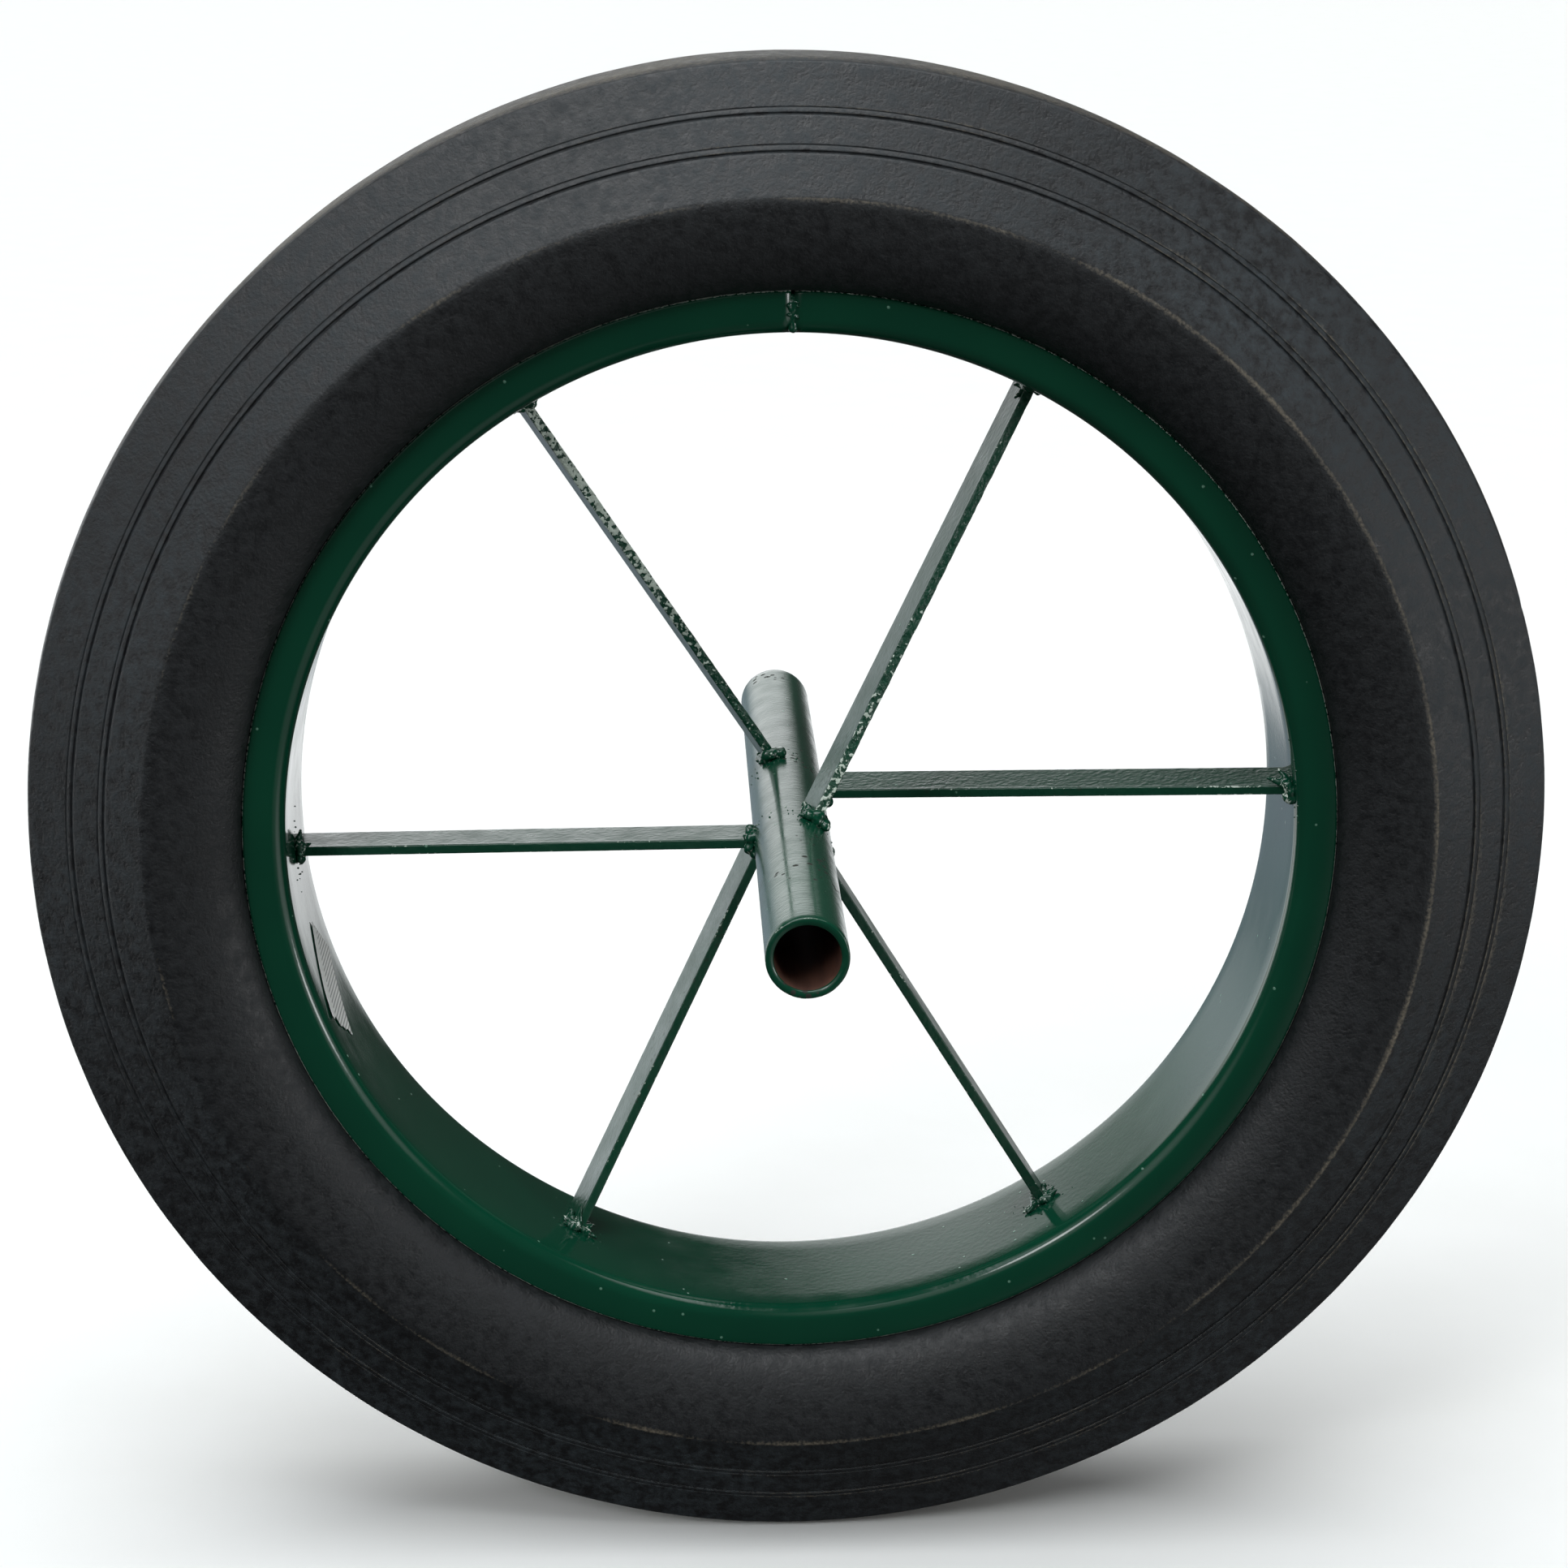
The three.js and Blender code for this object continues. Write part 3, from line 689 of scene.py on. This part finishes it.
# Where the frozen splashes of each weld point to, in millimetres from the bar's front edge at the
# joint: to the side (turning from +X to +Z), to the front, and up from the skin.
RIM_SPLASHES = {
    1: [(5.5, -2.5, 3.0), (4.0, -1.0, 6.5), (3.0, 1.0, 2.5), (-3.6, -0.5, 1.6)],
    2: [(4.2, -1.5, 2.6), (2.4, -1.0, 5.5), (-3.4, -0.5, 1.2)],
    3: [(4.0, -1.0, 1.8), (-2.8, -1.0, 1.4)],
    4: [(-6.0, -1.5, 1.6), (3.8, 0.0, 1.2), (-2.4, 0.5, 4.4)],
    5: [(-5.4, -2.0, 1.4), (-5.2, 1.4, 0.8), (-2.6, -1.0, 7.0), (4.8, 1.6, 0.8), (3.4, -1.0, 3.0)],
    6: [(-6.4, 1.2, 0.6), (-5.0, 2.4, 0.6), (5.0, -3.0, 1.4), (5.4, -0.5, 0.9), (3.0, 1.6, 0.8)],
}
HUB_SPLASHES = {
    1: [(2.8, 0.6, 1.4), (-2.8, 0.4, 1.2)],
    2: [(4.6, 0.6, 0.8), (3.6, -1.6, 1.8), (1.2, 2.2, 1.2), (-2.4, 1.0, 1.2)],
    3: [(4.4, 0.8, 1.0), (3.4, -1.8, 1.6), (-4.2, -2.4, 0.6), (0.5, 2.4, 0.8)],
    4: [(-3.6, -2.0, 2.6), (-2.0, 0.8, 3.0), (2.6, 2.8, 0.4), (0.4, 2.6, 0.8)],
    5: [(-2.8, 0.6, 1.6), (2.6, 1.0, 1.2)],
    6: [(2.8, 0.6, 1.2), (-2.8, 0.8, 1.4)],
}


class Joint:
    """Where a bar's front edge meets the rim's inner face or the hub's skin. A spot beside it is
    given as (to the side, to the front, up from the skin) and is bent round with the skin."""

    def __init__(self, number, at_rim):
        place, width, _ = bar_frame(number)
        along, front = place.to_3x3().col[0], place.to_3x3().col[1]
        self.radius = RIM_FACE if at_rim else HUB_RADIUS
        self.up = -1 if at_rim else 1
        point = place.translation + front * (width / 2)
        for _ in range(4):          # walks along the bar until it is on the skin
            point = point + along * (self.radius - spread(point))
        self.angle = math.atan2(point.z, point.x)
        self.place = point.y
        self.slope = (front.z * math.cos(self.angle) - front.x * math.sin(self.angle)) / -front.y

    def bend(self, bm):
        """Moves a bmesh shaped on a flat skin onto the joint."""
        for vert in bm.verts:
            side, front, up = vert.co
            turned = self.angle + (side + front * self.slope) / self.radius
            radius = self.radius + self.up * up
            vert.co = (radius * math.cos(turned), self.place - front, radius * math.sin(turned))


SKIN_SIZE = 0.3                # size of the small faces on a weld
SPATTER_COUNT = 26


def lump(bm, place, radius):
    """Adds one rough ball."""
    bmesh.ops.create_icosphere(bm, subdivisions=2, radius=radius, matrix=Matrix.Translation(place))


def splash(bm, start, tip, thick, thin):
    """Adds one frozen splash: a cone from start to tip."""
    run = tip - start
    turn = run.to_track_quat("Z", "Y").to_matrix().to_4x4()
    bmesh.ops.create_cone(bm, cap_ends=True, segments=9, radius1=thick, radius2=thin,
                          depth=run.length, matrix=Matrix.Translation((start + tip) / 2) @ turn)


def weld(name, node, joint, splashes, size, seed):
    """One arc weld: lumps that wrap the bar's front edge, splashes out of them, and spatter."""
    luck = random.Random(seed)
    bm = bmesh.new()
    # Lumps along both faces of the bar, smaller towards its back edge
    for side in (-1, 1):
        for step in range(8):
            spot = Vector((side * (1.6 + luck.uniform(0, 0.7)), 0.8 - step * 1.1,
                           luck.uniform(0.1, 1.4)))
            lump(bm, spot * size, size * luck.uniform(1.0, 1.6) * (1 - 0.05 * step))
    for _ in range(4):
        spot = Vector((luck.uniform(-1.6, 1.6), luck.uniform(0.3, 1.2), luck.uniform(0.1, 1.8)))
        lump(bm, spot * size, size * luck.uniform(1.0, 1.5))
    for tip in splashes:
        end = Vector(tip)
        start = Vector((end.x * 0.15, -0.8, 0.4))
        splash(bm, start, end, 1.7 * size, 0.25)
        mid = start.lerp(end, 0.5)
        lump(bm, mid + Vector((0, luck.uniform(-0.5, 0.5), 0)), 0.9 * size)
    bm = voxel_skin(bm, SKIN_SIZE)
    swell(bm, bm.verts, lambda point: 0.2 * waves(point, 1.5, seed) + 0.08 * waves(point, 0.7, seed))
    bmesh.ops.smooth_vert(bm, verts=bm.verts, factor=0.3, use_axis_x=True, use_axis_y=True,
                          use_axis_z=True)
    for _ in range(SPATTER_COUNT):
        spot = Vector((luck.gauss(0, 5.0), luck.gauss(-1, 4.5), 0.02))
        bmesh.ops.create_icosphere(bm, subdivisions=1, radius=luck.uniform(0.12, 0.34),
                                   matrix=Matrix.Translation(spot))
    # Pale chipped patches over the whole weld: partly chipped paint, partly painted reflection on its
    # lumps
    mark(bm, "wear", lambda point: share(0.5 + 0.3 * waves(point, 2.4, seed)))
    joint.bend(bm)
    return finish_piece(bm, name, [node], [WELD_ENAMEL])


def seam_weld():
    """The weld that closes the rim: a thin bead along the strip's whole section."""
    luck = random.Random(90)
    edge = RIM_WIDTH / 2
    wall = RIM_WALL / 2
    # Down the front flange, across the base and up the back flange
    path = [(RIM_RADIUS - 1.8 - step * 1.1, -edge + wall) for step in range(8)]
    path += [(RIM_FACE + wall, -edge + 3.6 + step * 1.2) for step in range(36)]
    path += [(RIM_RADIUS - 9.5 + step * 1.1, edge - wall) for step in range(8)]
    bm = bmesh.new()
    for radius, place in path:
        spot = Vector((luck.uniform(-0.25, 0.25), place, radius))
        lump(bm, spot, wall + luck.uniform(0.12, 0.34))
    for side in (-1, 1):
        for _ in range(4):
            spot = Vector((side * luck.uniform(0.6, 1.6), -edge - 0.1, RIM_RADIUS - luck.uniform(1, 7)))
            lump(bm, spot, luck.uniform(0.3, 0.6))
    bm = voxel_skin(bm, SKIN_SIZE)
    swell(bm, bm.verts, lambda point: 0.1 * waves(point, 1.1, 91))
    bmesh.ops.smooth_vert(bm, verts=bm.verts, factor=0.4, use_axis_x=True, use_axis_y=True,
                          use_axis_z=True)
    mark(bm, "wear", lambda point: 0.45)
    return finish_piece(bm, "rim_seam_weld", ["rim_butt_weld"], [RIM_ENAMEL])


# ---- Label -----------------------------------------------------------------------------------------


def label():
    """A torn paper label that lies on the rim's inner face, with one corner lifting."""
    low, high = corner("paper_label", 0), corner("paper_label", 1)
    middle = (low + high) / 2
    angle = math.atan2(middle.z, middle.x)
    bm = bmesh.new()
    bmesh.ops.create_grid(bm, x_segments=60, y_segments=32, size=1)
    for vert in bm.verts:
        along = vert.co.x
        across = vert.co.y
        # The far end is torn to an uneven line. One of its corners lifts, and the rest is a bit wavy.
        torn = 1.6 + 1.6 * waves((across * 8, 0, 0), 3.2, 12)
        along *= LABEL_LENGTH / 2 - torn * max(0.0, along)
        across = across * LABEL_WIDTH / 2
        lift = max(0.0, (along - across) / 16 - 0.9) * 0.8 + 0.05 * (1 + waves((along, across, 0), 6, 13))
        round_rim = along * math.cos(LABEL_TURN) + across * math.sin(LABEL_TURN)
        place = -along * math.sin(LABEL_TURN) + across * math.cos(LABEL_TURN)
        radius = RIM_FACE - LABEL_CLEARANCE - lift
        turned = angle + round_rim / RIM_FACE
        vert.co = (radius * math.cos(turned), middle.y + place, radius * math.sin(turned))
    bm.normal_update()
    bmesh.ops.recalc_face_normals(bm, faces=bm.faces)
    bmesh.ops.solidify(bm, geom=bm.faces[:], thickness=LABEL_THICKNESS)

    def round_share(point):
        """Place round the rim, which the printed lines are counted by."""
        return (math.atan2(point.z, point.x) - angle) * RIM_FACE / LABEL_LENGTH + 0.5

    def across_share(point):
        """Place across the label, which the plain margin is read from."""
        round_rim = (math.atan2(point.z, point.x) - angle) * RIM_FACE
        across = round_rim * math.sin(LABEL_TURN) + (point.y - middle.y) * math.cos(LABEL_TURN)
        return across / LABEL_WIDTH + 0.5

    mark(bm, "around", round_share)
    mark(bm, "across", across_share)
    return finish_piece(bm, "torn_label", ["paper_label"], [PAPER])


# ---- Building the wheel ----------------------------------------------------------------------------

tyre()
rim()
seam_weld()
hub()
for number in range(1, SPOKE_COUNT + 1):
    spoke(number)
    weld(f"spoke_weld_rim_{number}", f"rim_weld_{number}", Joint(number, True),
         RIM_SPLASHES[number], 1.0, 100 + number)
    weld(f"spoke_weld_hub_{number}", f"hub_weld_{number}", Joint(number, False),
         HUB_SPLASHES[number], 1.1, 200 + number)
label()


# ---- Studio ----------------------------------------------------------------------------------------


def floor():
    """A wide sheet of white paper under the wheel."""
    bm = bmesh.new()
    bmesh.ops.create_grid(bm, x_segments=1, y_segments=1, size=FLOOR_HALF)
    bmesh.ops.translate(bm, vec=(0, 0, -TYRE_RADIUS * MM - FLOOR_DROP), verts=bm.verts)
    mesh = bpy.data.meshes.new("studio_floor")
    bm.to_mesh(mesh)
    bm.free()
    sheet = bpy.data.objects.new("studio_floor", mesh)
    mesh.materials.append(FLOOR_PAPER)
    bpy.context.scene.collection.objects.link(sheet)
    # The wheel's shadow falls on the sheet, but only the camera sees the sheet: it isn't mirrored in
    # the wheel and throws no light on it. The panels stand in for that light.
    sheet.visible_glossy = False
    sheet.visible_diffuse = False
    sheet.visible_shadow = False


def direction(azimuth, elevation):
    """A unit vector: azimuth 0 is straight behind the wheel and turns to the right, in degrees."""
    turn = math.radians(azimuth)
    rise = math.radians(elevation)
    return Vector((math.sin(turn) * math.cos(rise), math.cos(turn) * math.cos(rise), math.sin(rise)))


ROOM_LEVEL = 0.05              # light from the dark part of the room
BACKDROP_LEVEL = 1.1           # what the camera sees past the wheel, a little over white
FLOOR_HALF = 40                # half the floor's side, in metres
FLOOR_DROP = 0.0003            # from the tyre to the floor, in metres
WHITE = linear("#fbfeff")[:3]
PALE_BLUE = linear("#cfe6f7")[:3]

# Soft panels round the studio: azimuth, elevation, inner and outer spread in degrees, level, colour
PANELS = [
    (-5, 9, 6, 18, 1.7, WHITE),           # behind, just above the horizon
    (8, -17, 5, 14, 1.1, WHITE),          # behind, low
    (-21, -14, 8, 22, 0.4, PALE_BLUE),    # behind and to the left, low
    (-47, -3, 13, 32, 1.3, WHITE),        # behind and to the left
    (-72, -4, 10, 28, 1.8, WHITE),        # left
    (-145, 34, 12, 38, 0.8, WHITE),       # wide key, from the front left
    (-145, 34, 4, 10, 10.0, WHITE),       # the key's bright middle
    (180, 88, 18, 38, 3.3, WHITE),        # overhead
    (118, 2, 10, 30, 1.0, WHITE),         # wide fill, from the front right
    (118, 2, 4, 9, 9.0, WHITE),           # the fill's bright middle
    (135, -36, 10, 34, 0.3, WHITE),       # low bounce, from the front right
]


def studio_light():
    """A dark room with large soft panels, seen as plain white where the camera looks past them."""
    world = bpy.data.worlds.new("studio")
    bpy.context.scene.world = world
    world.use_nodes = True
    tree = world.node_tree
    tree.nodes.clear()
    look = add(tree, "TexCoord").outputs["Generated"]
    total = add(tree, "CombineXYZ", {"X": ROOM_LEVEL, "Y": ROOM_LEVEL, "Z": ROOM_LEVEL}).outputs[0]
    for azimuth, elevation, inner, outer, level, colour in PANELS:
        centre = direction(azimuth, elevation)
        facing = add(tree, "VectorMath", {0: look, 1: centre}, operation="DOT_PRODUCT")
        panel = add(tree, "MapRange", {"Value": facing.outputs["Value"],
                                       "From Min": math.cos(math.radians(outer)),
                                       "From Max": math.cos(math.radians(inner)),
                                       "To Max": level}, interpolation_type="SMOOTHSTEP")
        lit = add(tree, "VectorMath", {0: colour, "Scale": panel.outputs[0]}, operation="SCALE")
        total = add(tree, "VectorMath", {0: total, 1: lit.outputs[0]}, operation="ADD").outputs[0]
    seen = add(tree, "LightPath").outputs["Is Camera Ray"]
    backdrop = (BACKDROP_LEVEL, BACKDROP_LEVEL, BACKDROP_LEVEL, 1.0)
    shown = add(tree, "Mix", {"Factor": seen, "A": total, "B": backdrop}, data_type="RGBA")
    light = add(tree, "Background", {"Color": shown.outputs["Result"]})
    add(tree, "OutputWorld", {"Surface": light.outputs[0]})


def softbox(name, azimuth, elevation, distance, size, power):
    """A square area light that faces the wheel's centre."""
    lamp = bpy.data.lights.new(name, "AREA")
    lamp.size = size
    lamp.energy = power
    lamp.color = linear("#eef7ff")[:3]
    holder = bpy.data.objects.new(name, lamp)
    aim = direction(azimuth, elevation)
    holder.location = aim * distance
    holder.rotation_euler = (-aim).to_track_quat("-Z", "Y").to_euler()
    bpy.context.scene.collection.objects.link(holder)


EYE_AZIMUTH = 180 + 2.017
EYE_ELEVATION = 15.726
EYE_DISTANCE = 0.9456          # in metres
AIM = (-1.34, 0, 8.26)         # the point looked at, in millimetres
LENS = 81.1
SENSOR = 36


def camera():
    """Looks at the wheel from a little above and a touch to the left."""
    lens = bpy.data.cameras.new("camera")
    lens.lens = LENS
    lens.sensor_width = SENSOR
    eye = bpy.data.objects.new("camera", lens)
    place = direction(EYE_AZIMUTH, EYE_ELEVATION) * EYE_DISTANCE
    aim = Vector(AIM) * MM
    eye.location = place
    eye.rotation_euler = (aim - place).to_track_quat("-Z", "Y").to_euler()
    bpy.context.scene.collection.objects.link(eye)
    bpy.context.scene.camera = eye


floor()
studio_light()
softbox("overhead_softbox", azimuth=-150, elevation=62, distance=1.5, size=1.0, power=4)
camera()
bpy.context.scene.view_settings.view_transform = "Standard"
